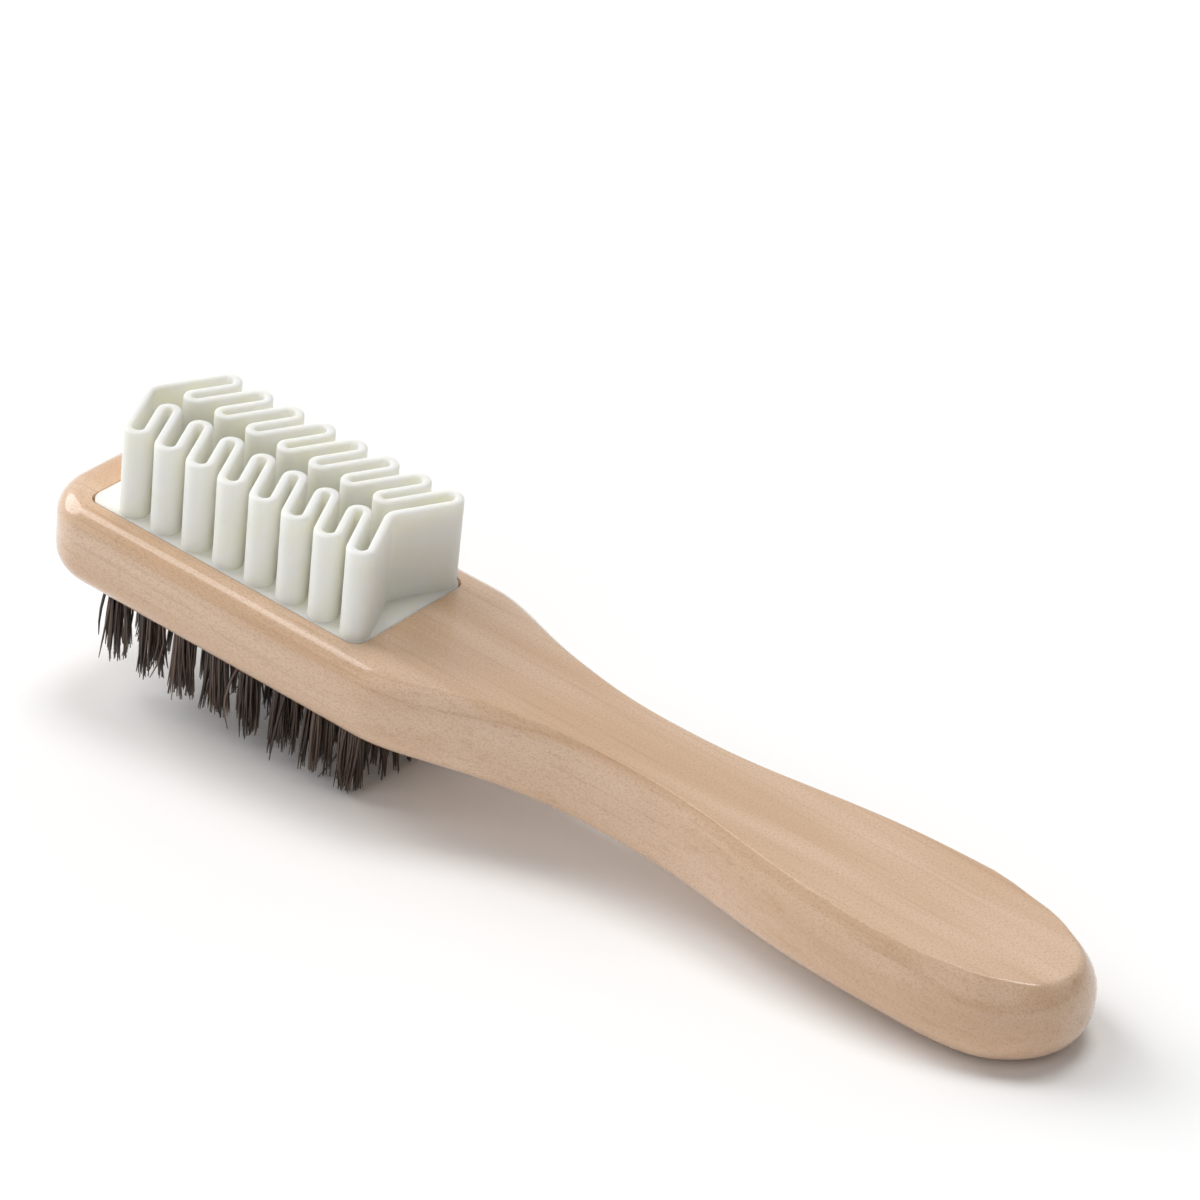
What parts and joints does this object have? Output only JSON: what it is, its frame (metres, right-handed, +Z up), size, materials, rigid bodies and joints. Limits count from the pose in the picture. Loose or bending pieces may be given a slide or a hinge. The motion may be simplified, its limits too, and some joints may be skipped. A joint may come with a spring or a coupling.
{
  "type": "suede brush",
  "caption": "Suede brush: flat wooden handle with a waisted neck, crimped rubber insert on top of the head and bristle tufts below; rests on its bristles and tail.",
  "frame": {"origin": "middle of the brush in plan, on the surface that it rests on", "axes": "+X from the nose to the tail, +Y across the handle, +Z up as the brush rests on its bristles and tail"},
  "size_m": [0.1694, 0.0314, 0.0459],
  "materials": {
    "wood": "pale fine-grained wood with a satin lacquer",
    "rubber": "soft ivory rubber, matt",
    "glue": "set adhesive",
    "wire": "flat anchor wire",
    "bristle": "stiff dark brown bristles with a slight shine"
  },
  "bodies": {
    "root": {"handle": "wood", "rubber_insert": "rubber", "insert_glue": "glue", "tuft_anchors": "wire", "tuft_1_1": "bristle", "tuft_1_2": "bristle", "tuft_1_3": "bristle", "tuft_1_4": "bristle", "tuft_1_5": "bristle", "tuft_1_6": "bristle", "tuft_1_7": "bristle", "tuft_1_8": "bristle", "tuft_2_1": "bristle", "tuft_2_2": "bristle", "tuft_2_3": "bristle", "tuft_2_4": "bristle", "tuft_2_5": "bristle", "tuft_2_6": "bristle", "tuft_2_7": "bristle", "tuft_2_8": "bristle", "tuft_3_1": "bristle", "tuft_3_2": "bristle", "tuft_3_3": "bristle", "tuft_3_4": "bristle", "tuft_3_5": "bristle", "tuft_3_6": "bristle", "tuft_3_7": "bristle", "tuft_3_8": "bristle", "tuft_4_1": "bristle", "tuft_4_2": "bristle", "tuft_4_3": "bristle", "tuft_4_4": "bristle", "tuft_4_5": "bristle", "tuft_4_6": "bristle", "tuft_4_7": "bristle", "tuft_4_8": "bristle"}
  },
  "joints": []
}
